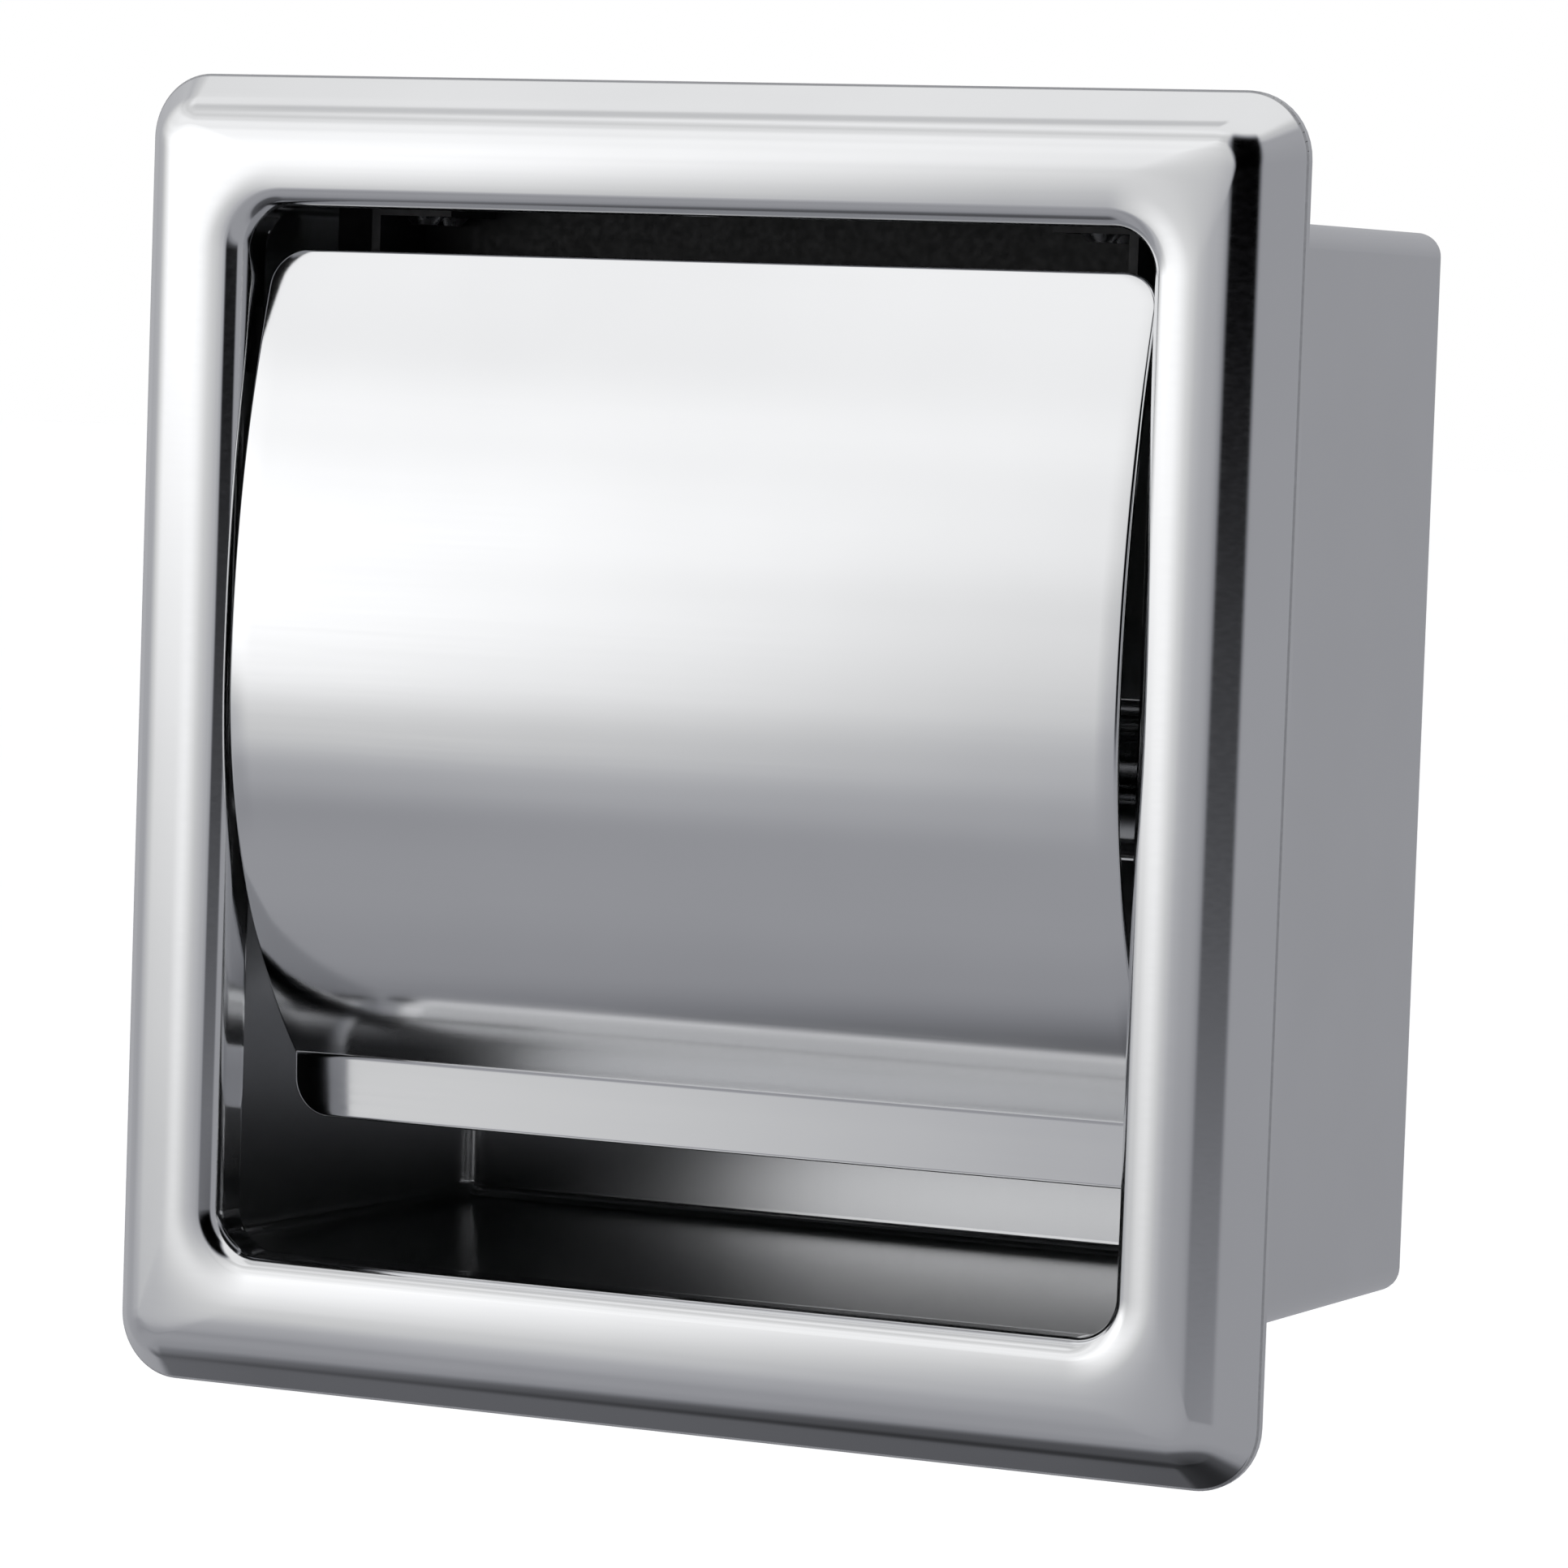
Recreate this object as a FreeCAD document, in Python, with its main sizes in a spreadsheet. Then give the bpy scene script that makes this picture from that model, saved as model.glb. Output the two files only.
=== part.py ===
import FreeCAD, Part
import Sketcher
import math
import os

# Recessed toilet paper holder with a hinged hood.
#
# Millimetres, +Z up, +X to the right of someone who faces the holder. The wall's surface is the
# plane Y = 0: the trim frame stands out of it towards -Y, and the box goes into the wall, towards +Y.
# The origin is the centre of the trim frame, on the wall's surface.

doc = FreeCAD.newDocument("recessed_paper_holder")
sheet = doc.addObject("Spreadsheet::Sheet", "Sizes")

SIZES = {
    # trim frame round the opening, pressed from sheet
    "steel": 1.0,
    "frame_width": 155.0,
    "frame_height": 163.5,
    "frame_corner": 8.0,
    "frame_front": 8.0,
    "flank_width": 6.3,
    "ridge_corner": 3.2,
    "ridge_round": 5.0,
    "opening_width": 121.6,
    "opening_height": 130.0,
    "opening_rise": 0.5,
    "opening_corner": 5.5,
    "opening_roll": 3.0,
    "opening_lip_back": 1.2,
    "lip_trim_margin": 1.2,
    "flange_thick": 1.0,
    "flange_gap": 0.1,
    # box in the wall
    "box_width": 135.0,
    "box_height": 133.0,
    "box_rise": 0.7,
    "box_back": 71.0,
    "box_front": 1.0,
    "box_corner": 3.0,
    "back_corner": 2.8,
    "wall_screw_hole": 5.0,
    "wall_screw_span_across": 80.0,
    "wall_screw_span_up": 70.0,
    # hood: two arcs that meet at the bulge, then a flat lip
    "hood_width": 119.4,
    "hood_corner": 4.8,
    "bulge_front": 9.2,
    "bulge_height": 8.0,
    "upper_arc": 172.0,
    "lower_arc": 72.0,
    "hood_top": 60.5,
    "crease_drop": 40.5,
    "lip_length": 8.0,
    "lip_lean": 2.5,
    "knee_drop": 0.2,
    # hinge
    "hinge_in": 2.25,
    "hinge_height": 57.3,
    "rod_diameter": 3.0,
    "rod_length": 111.0,
    "rod_edge": 0.3,
    "rod_groove": 2.3,
    "clip_inner": 2.4,
    "clip_outer": 5.6,
    "clip_mouth": 1.68,
    "clip_thick": 0.5,
    "clip_place": 52.8,
    "clip_play": 0.05,
    "knuckle_outer": 6.0,
    "knuckle_inner": 3.1,
    "knuckle_start": 18.5,
    "knuckle_length": 32.0,
    "bracket_steel": 1.2,
    "ear_place": 50.8,
    "ear_radius": 2.8,
    "ear_hole": 3.1,
    "ear_arm_above": 1.5,
    "arm_width": 6.5,
    "post_front": 9.5,
    "post_back": 21.0,
    "post_bottom": 57.5,
    "stop_front": 0.0,
    "stop_bottom": 45.0,
    "stop_top": 53.0,
    "stop_width": 8.0,
    "foot_width": 10.0,
    "bumper_diameter": 6.0,
    "bumper_height": 2.8,
    "bumper_dome": 3.15,
    "bumper_level": 49.0,
    # dark strip above the hood
    "strip_gap": 0.3,
    "strip_width": 8.0,
    "strip_drop": 6.5,
    "strip_thick": 0.8,
    # rivets
    "rivet_shank": 2.9,
    "rivet_hole": 3.0,
    "rivet_head": 5.0,
    "rivet_head_top": 3.0,
    "rivet_head_high": 1.0,
    "bracket_rivet_place": 46.0,
    "bracket_rivet_first": 12.2,
    "bracket_rivet_second": 18.4,
    # roller and its sockets
    "roller_in": 18.0,
    "roller_height": 0.0,
    "barrel_outer": 22.0,
    "barrel_inner": 20.0,
    "barrel_mouth": 19.7,
    "mouth_length": 2.0,
    "barrel_edge": 0.4,
    "barrel_end": 14.0,
    "sleeve_outer": 19.6,
    "sleeve_inner": 17.6,
    "sleeve_start": 6.0,
    "tube_end": 57.0,
    "knob_flange": 3.6,
    "knob_edge": 1.0,
    "knob_plug": 6.0,
    "plug_slack": 0.1,
    "tip_diameter": 7.0,
    "tip_length": 4.0,
    "tip_round": 1.2,
    "coil_diameter": 14.0,
    "coil_wire": 1.2,
    "coil_turns": 17.0,
    "coil_play": 0.1,
    "socket_plate_width": 14.0,
    "socket_plate_height": 27.0,
    "socket_plate_round": 6.8,
    "socket_plate_thick": 1.2,
    "socket_boss": 14.0,
    "socket_boss_high": 5.5,
    "socket_boss_round": 1.0,
    "socket_hole": 7.2,
    "socket_hole_deep": 4.6,
    "socket_rivet_offset": 10.0,
}
CLOSE = 0.05  # edges are picked by where they lie, to within this distance

for row, (alias, value) in enumerate(SIZES.items(), start=1):
    sheet.set(f"A{row}", alias)
    sheet.set(f"B{row}", str(value))
    sheet.setAlias(f"B{row}", alias)
doc.recompute()


def cells(expression):
    """Put the sheet's name in front of each size in an expression."""
    words = sorted(SIZES, key=len, reverse=True)
    out = ""
    place = 0
    while place < len(expression):
        for word in words:
            end = place + len(word)
            before = expression[place - 1] if place else " "
            after = expression[end] if end < len(expression) else " "
            joined = before.isalnum() or before == "_" or after.isalnum() or after == "_"
            if expression.startswith(word, place) and not joined:
                out += "Sizes." + word
                place = end
                break
        else:
            out += expression[place]
            place += 1
    return out


def value_of(expression):
    """An expression's value in millimetres."""
    return float(sheet.evalExpression(cells(str(expression))))


def bind(thing, what, expression):
    thing.setExpression(what, cells(str(expression)))


def new_body(name, x="0", y="0", z="0", turn=None):
    """A body whose place is bound to the sheet; turn is (axis, degrees)."""
    body = doc.addObject("PartDesign::Body", name)
    body.Label = name
    if turn:
        body.Placement.Rotation = FreeCAD.Rotation(FreeCAD.Vector(*turn[0]), turn[1])
    for axis, place in zip("xyz", (x, y, z)):
        bind(body, f"Placement.Base.{axis}", place)
    return body


def new_sketch(body, plane, name, offset="0"):
    """A sketch on an origin plane of its body, moved along the plane's normal.

    XY_Plane looks along +Z, XZ_Plane along -Y and YZ_Plane along +X.
    """
    sketch = body.newObject("Sketcher::SketchObject", name)
    base = next(o for o in body.Origin.OriginFeatures if o.Role == plane)
    sketch.AttachmentSupport = [(base, "")]
    sketch.MapMode = "FlatFace"
    bind(sketch, "AttachmentOffset.Base.z", offset)
    return sketch


def pin_point(sketch, edge, end, x, y):
    """Hold a point of an edge at (x, y) from the sketch's origin, both bound to the sheet."""
    for kind, where in (("DistanceX", x), ("DistanceY", y)):
        index = sketch.addConstraint(Sketcher.Constraint(kind, -1, 1, edge, end, value_of(where)))
        bind(sketch, f"Constraints[{index}]", where)


def outline(sketch, points):
    """Draw a closed outline. Each point is (x, y) or (x, y, radius).

    A radius turns the edge from that point to the next into an arc: counter-clockwise round its
    centre for a positive radius, clockwise for one that starts with a minus sign.
    """
    edges = []
    for number, point in enumerate(points):
        following = points[(number + 1) % len(points)]
        start = FreeCAD.Vector(value_of(point[0]), value_of(point[1]), 0)
        end = FreeCAD.Vector(value_of(following[0]), value_of(following[1]), 0)
        if len(point) == 2:
            edges.append((sketch.addGeometry(Part.LineSegment(start, end), False), 1, 2))
            continue
        clockwise = point[2].startswith("-")
        radius = abs(value_of(point[2]))
        if clockwise:
            start, end = end, start
        chord = end - start
        reach = math.sqrt(max(radius**2 - chord.Length**2 / 4, 0))
        side = FreeCAD.Vector(-chord.y, chord.x, 0).normalize()
        centre = (start + end) * 0.5 + side * reach
        angles = [math.atan2(p.y - centre.y, p.x - centre.x) for p in (start, end)]
        circle = Part.Circle(centre, FreeCAD.Vector(0, 0, 1), radius)
        arc = sketch.addGeometry(Part.ArcOfCircle(circle, *angles), False)
        index = sketch.addConstraint(Sketcher.Constraint("Radius", arc, radius))
        bind(sketch, f"Constraints[{index}]", point[2].lstrip("-"))
        edges.append((arc, 2, 1) if clockwise else (arc, 1, 2))
    for number, (edge, first, last) in enumerate(edges):
        after, after_first, _ = edges[(number + 1) % len(edges)]
        sketch.addConstraint(Sketcher.Constraint("Coincident", edge, last, after, after_first))
        pin_point(sketch, edge, first, points[number][0], points[number][1])


def rounded_rectangle(sketch, width, height, corner, rise="0"):
    """A rectangle with round corners, centred on x = 0 and y = rise."""
    half_w, half_h = f"({width}) / 2", f"({height}) / 2"
    points = []
    for across, up in ((1, 1), (-1, 1), (-1, -1), (1, -1)):
        on_side = (f"{across} * {half_w}", f"{rise} + {up} * ({half_h} - ({corner}))")
        on_end = (f"{across} * ({half_w} - ({corner}))", f"{rise} + {up} * {half_h}")
        first, second = (on_side, on_end) if across == up else (on_end, on_side)
        points += [(*first, f"({corner})"), second]
    outline(sketch, points)


def circles(sketch, places, diameter):
    """Circles of one diameter at places (x, y)."""
    for x, y in places:
        centre = FreeCAD.Vector(value_of(x), value_of(y), 0)
        radius = value_of(diameter) / 2
        circle = sketch.addGeometry(Part.Circle(centre, FreeCAD.Vector(0, 0, 1), radius), False)
        index = sketch.addConstraint(Sketcher.Constraint("Diameter", circle, 2 * radius))
        bind(sketch, f"Constraints[{index}]", diameter)
        pin_point(sketch, circle, 3, x, y)


def feature(body, kind, name, adds, profile=None, **settings):
    """Add a feature, build it, and check that it really adds or removes material."""
    before = body.Shape.Volume if body.Tip else 0.0
    made = body.newObject(f"PartDesign::{kind}", name)
    if profile:
        made.Profile = profile
    for key, setting in settings.items():
        if isinstance(setting, str) and key not in ("Type", "Base"):
            bind(made, key, setting)
        else:
            setattr(made, key, setting)
    doc.recompute()
    change = body.Shape.Volume - before
    if made.State and "Invalid" in made.State or change * adds <= 0:
        raise RuntimeError(f"{body.Label}.{name} changes the volume by {change:.3f}: {made.State}")
    return made


def pad(body, profile, length, name, **settings):
    return feature(body, "Pad", name, 1, profile, Length=length, **settings)


def pocket(body, profile, length, name, **settings):
    return feature(body, "Pocket", name, -1, profile, Length=length, **settings)


def turned(body, profile):
    """A body of revolution about the X axis, from a sketch on the XZ plane."""
    return feature(body, "Revolution", "turned", 1, profile, Angle=360.0, ReferenceAxis=(profile, ["H_Axis"]))


def edges_where(shape, test):
    """Names of the edges whose bounding box passes a test."""
    return [f"Edge{n}" for n, edge in enumerate(shape.Edges, start=1) if test(edge.BoundBox)]


def fillet(body, edges, radius, name, adds=-1):
    return feature(body, "Fillet", name, adds, Base=(body.Tip, edges), Radius=radius)


def near(a, b):
    return abs(a - b) < CLOSE


# ---------------------------------------------------------------- trim frame and box


def pressed_form(name, inset):
    """The frame's outer form, or with an inset of the sheet's thickness, the hollow inside it."""
    body = new_body(name)
    rise = "(frame_front - flange_thick)"
    skirt_in = f"(({inset}) * sqrt(flank_width ^ 2 + {rise} ^ 2) / {rise})"
    ridge_in = f"({skirt_in} + flank_width * ({rise} - ({inset})) / {rise})"
    plane = f"(frame_front - ({inset}))"
    skirt = new_sketch(body, "XZ_Plane", "skirt_outline", "flange_thick")
    width, height = f"frame_width - 2 * {skirt_in}", f"frame_height - 2 * {skirt_in}"
    rounded_rectangle(skirt, width, height, f"frame_corner - {skirt_in}")
    ridge = new_sketch(body, "XZ_Plane", "ridge_outline", plane)
    width, height = f"frame_width - 2 * {ridge_in}", f"frame_height - 2 * {ridge_in}"
    rounded_rectangle(ridge, width, height, f"ridge_corner - ({inset}) / 2")
    doc.recompute()
    feature(body, "AdditiveLoft", "pressed_block", 1, skirt, Sections=[ridge], Ruled=True)
    front = -value_of(plane)

    def in_front(b):
        return near(b.YMin, front) and near(b.YMax, front)

    fillet(body, edges_where(body.Shape, in_front), f"ridge_round - ({inset})", "ridge_fillet")
    window = new_sketch(body, "XZ_Plane", "window", "frame_front + steel")
    width, height = f"opening_width + 2 * ({inset})", f"opening_height + 2 * ({inset})"
    rounded_rectangle(window, width, height, f"opening_corner + ({inset})", "opening_rise")
    pocket(body, window, "2 * frame_front", "window_cut")
    half = value_of(width) / 2 + CLOSE

    def at_window(b):
        return in_front(b) and max(abs(b.XMin), abs(b.XMax)) < half

    roll_edges = edges_where(body.Shape, at_window)
    fillet(body, roll_edges, f"opening_roll - ({inset})", "opening_roll_fillet")
    return body


def make_bezel_frame():
    """Pressed frame: sloping flanks, a rounded ridge, a flat face that rolls into the opening."""
    form = pressed_form("bezel_form", "0")
    lip = new_sketch(form, "XZ_Plane", "lip_trim", "flange_thick")
    width, height = "opening_width + 2 * lip_trim_margin", "opening_height + 2 * lip_trim_margin"
    rounded_rectangle(lip, width, height, "opening_corner + lip_trim_margin", "opening_rise")
    pocket(form, lip, "opening_lip_back - flange_thick", "lip_cut", Reversed=True)
    hollow = pressed_form("bezel_hollow", "steel")
    frame = doc.addObject("Part::Cut", "bezel_frame")
    frame.Label = "bezel_frame"
    frame.Base = form
    frame.Tool = hollow
    doc.recompute()
    return frame


def make_wall_flange():
    """Flat ring that closes the frame's back and lies on the wall."""
    body = new_body("wall_flange")
    ring = new_sketch(body, "XZ_Plane", "ring")
    rounded_rectangle(ring, "frame_width", "frame_height", "frame_corner")
    pad(body, ring, "flange_thick", "ring_pad")
    hole = new_sketch(body, "XZ_Plane", "box_hole")
    width, height = "box_width + flange_gap", "box_height + flange_gap"
    rounded_rectangle(hole, width, height, "box_corner + flange_gap / 2", "box_rise")
    pocket(body, hole, "flange_thick", "hole_cut", Reversed=True)
    return body


def make_housing_box():
    """Drawn box, open at the front, with screw holes in its back and rivet holes in three walls."""
    body = new_body("housing_box")
    outside = new_sketch(body, "XZ_Plane", "outside", "box_front")
    rounded_rectangle(outside, "box_width", "box_height", "box_corner", "box_rise")
    pad(body, outside, "box_front + box_back", "block", Reversed=True)
    back = value_of("box_back")
    back_edges = edges_where(body.Shape, lambda b: near(b.YMin, back) and near(b.YMax, back))
    fillet(body, back_edges, "back_corner", "back_round")
    inside = new_sketch(body, "XZ_Plane", "inside", "box_front")
    shrink = "- 2 * steel"
    inner_corner = "box_corner - steel"
    rounded_rectangle(
        inside, f"box_width {shrink}", f"box_height {shrink}", inner_corner, "box_rise"
    )
    pocket(body, inside, "box_front + box_back - steel", "cavity")
    floor = back - value_of("steel")
    floor_edges = edges_where(body.Shape, lambda b: near(b.YMin, floor) and near(b.YMax, floor))
    fillet(body, floor_edges, "back_corner - steel", "cavity_round", adds=1)

    screws = new_sketch(body, "XZ_Plane", "screw_holes", "-box_back")
    across, up = "wall_screw_span_across / 2", "wall_screw_span_up / 2"
    corners = [(f"{sx} * {across}", f"{sz} * {up}") for sx in (1, -1) for sz in (1, -1)]
    circles(screws, corners, "wall_screw_hole")
    pocket(body, screws, "2 * steel", "screw_hole_cut", Midplane=True)

    sides = new_sketch(body, "YZ_Plane", "socket_rivet_holes")
    offsets = [("roller_in", f"roller_height + {s} * socket_rivet_offset") for s in (1, -1)]
    circles(sides, offsets, "rivet_hole")
    pocket(body, sides, "box_width + 2 * steel", "socket_hole_cut", Midplane=True)

    ceiling = new_sketch(body, "XY_Plane", "bracket_rivet_holes", "box_rise + box_height / 2")
    places = [
        (f"{s} * bracket_rivet_place", place)
        for s in (1, -1)
        for place in ("bracket_rivet_first", "bracket_rivet_second")
    ]
    circles(ceiling, places, "rivet_hole")
    pocket(body, ceiling, "4 * steel", "ceiling_hole_cut", Midplane=True)
    return body


# ---------------------------------------------------------------- hood


def arc_depth(radius, drop, inset):
    """Depth of a hood arc at a distance above or below the bulge, for a face inset by a thickness.

    Both arcs are centred level with the bulge, so they meet there without a kink.
    """
    return f"(({radius}) - bulge_front - sqrt((({radius}) - ({inset})) ^ 2 - ({drop}) ^ 2))"


def make_hood_cover():
    """Curved sheet with a flat lower lip and four round corners."""
    body = new_body("hood_cover")
    profile = new_sketch(body, "YZ_Plane", "profile")
    rise = "hood_top - bulge_height"
    fall = "crease_drop + bulge_height"
    top_out = (arc_depth("upper_arc", rise, "0"), "hood_top")
    top_in = (arc_depth("upper_arc", rise, "steel"), "hood_top")
    bulge_out = ("-bulge_front", "bulge_height")
    bulge_in = ("steel - bulge_front", "bulge_height")
    crease_out = (arc_depth("lower_arc", fall, "0"), "-crease_drop")
    crease_in = (arc_depth("lower_arc", fall, "steel"), "-crease_drop")
    lean_in = "lip_length * sin(lip_lean * 1 deg)"
    tip_level = "-crease_drop - lip_length * cos(lip_lean * 1 deg)"
    tip_out = (f"{crease_out[0]} + {lean_in}", tip_level)
    tip_in = (f"{tip_out[0]} + steel", tip_level)
    knee_in = (f"{crease_out[0]} + steel", "-crease_drop - knee_drop")
    outline(
        profile,
        [
            (*top_out, "upper_arc"),
            (*bulge_out, "lower_arc"),
            crease_out,
            tip_out,
            tip_in,
            knee_in,
            (*crease_in, "-(lower_arc - steel)"),
            (*bulge_in, "-(upper_arc - steel)"),
            top_in,
        ],
    )
    pad(body, profile, "hood_width", "bent_sheet", Midplane=True)
    corners = new_sketch(body, "XZ_Plane", "corners")
    side_x, round_x = "hood_width / 2", "(hood_width / 2 - hood_corner)"
    for across in (1, -1):
        for up, level in ((1, "hood_top"), (-1, tip_level)):
            straight = f"{level} - {up} * hood_corner"
            beyond = f"{level} + {up} * steel"
            outside = f"{across} * ({side_x} + steel)"
            turn = "hood_corner" if across == up else "-hood_corner"
            outline(
                corners,
                [
                    (f"{across} * {side_x}", straight, turn),
                    (f"{across} * {round_x}", level),
                    (f"{across} * {round_x}", beyond),
                    (outside, beyond),
                    (outside, straight),
                ],
            )
    pocket(body, corners, "hood_width", "corner_cut", Midplane=True)
    return body


def make_knuckle(name, side):
    """Tube welded behind the hood's top, which turns on the rod."""
    body = new_body(name, "0", "hinge_in", "hinge_height")
    start = "knuckle_start" if side > 0 else "-knuckle_start - knuckle_length"
    ring = new_sketch(body, "YZ_Plane", "ring", start)
    circles(ring, [("0", "0")], "knuckle_outer")
    circles(ring, [("0", "0")], "knuckle_inner")
    pad(body, ring, "knuckle_length", "tube")
    return body


# ---------------------------------------------------------------- hinge


def make_hinge_rod():
    """Rod with a groove near each end for its retaining ring."""
    body = new_body("hinge_rod", "0", "hinge_in", "hinge_height")
    profile = new_sketch(body, "XZ_Plane", "profile")
    end = "rod_length / 2"
    groove_out = "clip_place + clip_thick + 2 * clip_play"
    surface, bottom = "rod_diameter / 2", "rod_groove / 2"
    right = [
        ("clip_place", surface),
        ("clip_place", bottom),
        (groove_out, bottom),
        (groove_out, surface),
        (f"{end} - rod_edge", surface),
        (end, f"{surface} - rod_edge"),
        (end, "0"),
    ]
    left = [(f"-({x})", radius) for x, radius in reversed(right)]
    outline(profile, left + right)
    turned(body, profile)
    return body


def make_rod_clip(name, side):
    """Open retaining ring in the rod's groove."""
    body = new_body(name, "0", "hinge_in", "hinge_height")
    start = "clip_place + clip_play" if side > 0 else "-clip_place - clip_thick - clip_play"
    ring = new_sketch(body, "YZ_Plane", "ring", start)
    circles(ring, [("0", "0")], "clip_outer")
    circles(ring, [("0", "0")], "clip_inner")
    pad(body, ring, "clip_thick", "ring_pad")
    mouth = new_sketch(body, "YZ_Plane", "mouth", start)
    half, reach = "clip_mouth / 2", "clip_outer"
    outline(mouth, [("0", f"-{half}"), (reach, f"-{half}"), (reach, half), ("0", half)])
    pocket(body, mouth, "clip_thick", "mouth_cut", Reversed=True)
    return body


def make_hinge_bracket(name, side):
    """Bent plate: a foot on the ceiling, an ear round the rod, and a tab that stops the hood."""
    body = new_body(name)
    ceiling = "(box_rise + box_height / 2 - steel)"
    inner_x = "ear_place" if side > 0 else "-ear_place - bracket_steel"
    ear = new_sketch(body, "YZ_Plane", "ear", inner_x)
    arm_in = "hinge_in + sqrt(ear_radius ^ 2 - ear_arm_above ^ 2)"
    eye_low = "hinge_height - sqrt(ear_radius ^ 2 - (hinge_in - stop_front) ^ 2)"
    outline(
        ear,
        [
            ("stop_front", "stop_bottom"),
            ("stop_front + arm_width", "stop_bottom"),
            ("post_back", "post_bottom"),
            ("post_back", ceiling),
            ("post_front", ceiling),
            ("post_front", "hinge_height + ear_arm_above"),
            (arm_in, "hinge_height + ear_arm_above", "ear_radius"),
            ("stop_front", eye_low),
        ],
    )
    pad(body, ear, "bracket_steel", "ear_pad")
    rod_hole = new_sketch(body, "YZ_Plane", "rod_hole", inner_x)
    circles(rod_hole, [("hinge_in", "hinge_height")], "ear_hole")
    pocket(body, rod_hole, "bracket_steel", "rod_hole_cut", Reversed=True)

    inboard, outboard = "ear_place + bracket_steel", "ear_place + bracket_steel + stop_width"
    tab = new_sketch(body, "XZ_Plane", "stop_tab", "-stop_front")
    corners = [(inboard, "stop_bottom"), (outboard, "stop_bottom")]
    corners += [(outboard, "stop_top"), (inboard, "stop_top")]
    outline(tab, [(f"{side} * ({x})", z) for x, z in corners])
    pad(body, tab, "bracket_steel", "stop_pad", Reversed=True)

    foot = new_sketch(body, "XY_Plane", "foot", ceiling)
    corners = [("ear_place - foot_width", "post_front"), ("ear_place", "post_front")]
    corners += [("ear_place", "post_back"), ("ear_place - foot_width", "post_back")]
    outline(foot, [(f"{side} * ({x})", y) for x, y in corners])
    pad(body, foot, "bracket_steel", "foot_pad", Reversed=True)
    holes = new_sketch(body, "XY_Plane", "foot_holes", ceiling)
    rows = ("bracket_rivet_first", "bracket_rivet_second")
    circles(holes, [(f"{side} * bracket_rivet_place", y) for y in rows], "rivet_hole")
    pocket(body, holes, "bracket_steel", "foot_hole_cut")
    return body


def make_hood_bumper(name, side):
    """Rubber button on the bracket's tab, which the closed hood rests on."""
    x = f"{side} * (ear_place + bracket_steel + stop_width / 2)"
    body = new_body(name, x, "stop_front", "bumper_level", turn=((0, 0, 1), -90))
    profile = new_sketch(body, "XZ_Plane", "profile")
    radius = "bumper_diameter / 2"
    outline(
        profile,
        [
            ("0", "0"),
            ("0", radius),
            ("bumper_height / 2", radius, "-bumper_dome"),
            ("bumper_height", "0"),
        ],
    )
    turned(body, profile)
    return body


def make_header_strip():
    """Angle strip welded under the ceiling behind the brackets; its web fills the view above the hood."""
    body = new_body("header_strip")
    ceiling = "(box_rise + box_height / 2 - steel)"
    front = "(post_back + strip_gap)"
    section = new_sketch(body, "YZ_Plane", "section")
    outline(
        section,
        [
            (front, ceiling),
            (front, f"{ceiling} - strip_drop"),
            (f"{front} + strip_thick", f"{ceiling} - strip_drop"),
            (f"{front} + strip_thick", f"{ceiling} - strip_thick"),
            (f"{front} + strip_width", f"{ceiling} - strip_thick"),
            (f"{front} + strip_width", ceiling),
        ],
    )
    pad(body, section, "box_width - 2 * steel - 2 * box_corner", "angle", Midplane=True)
    return body


# ---------------------------------------------------------------- roller


def make_tube(name, profile_points):
    body = new_body(name, "0", "roller_in", "roller_height")
    profile = new_sketch(body, "XZ_Plane", "profile")
    outline(profile, profile_points)
    turned(body, profile)
    return body


def make_roller_barrel():
    """Outer tube, with a slightly narrower mouth that guides the sleeve."""
    outer, inner, mouth = "barrel_outer / 2", "barrel_inner / 2", "barrel_mouth / 2"
    points = [
        ("-tube_end", outer),
        ("barrel_end - barrel_edge", outer),
        ("barrel_end", f"{outer} - barrel_edge"),
        ("barrel_end", mouth),
        ("barrel_end - mouth_length", mouth),
        ("barrel_end - mouth_length", inner),
        ("-tube_end", inner),
    ]
    return make_tube("roller_barrel", points)


def make_roller_sleeve():
    """Inner tube, which slides in the barrel."""
    outer, inner = "sleeve_outer / 2", "sleeve_inner / 2"
    points = [
        ("-sleeve_start", inner),
        ("-sleeve_start", outer),
        ("tube_end", outer),
        ("tube_end", inner),
    ]
    return make_tube("roller_sleeve", points)


def make_roller_knob(name, side, bore):
    """End knob: a plug in the tube, a flange against its end, and the tip that turns in a socket."""
    plug = f"({bore} - plug_slack) / 2"
    face = "tube_end + knob_flange"
    rim = "barrel_outer / 2"
    tip, tip_end = "tip_diameter / 2", "tube_end + knob_flange + tip_length"
    points = [
        ("tube_end - knob_plug", "0"),
        ("tube_end - knob_plug", plug),
        ("tube_end", plug),
        ("tube_end", rim),
        (f"{face} - knob_edge", rim),
        (face, f"{rim} - knob_edge"),
        (face, tip),
        (f"{tip_end} - tip_round", tip),
        (tip_end, f"{tip} - tip_round"),
        (tip_end, "0"),
    ]
    if side < 0:
        points = [(f"-({x})", radius) for x, radius in reversed(points)]
    return make_tube(name, points)


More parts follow.
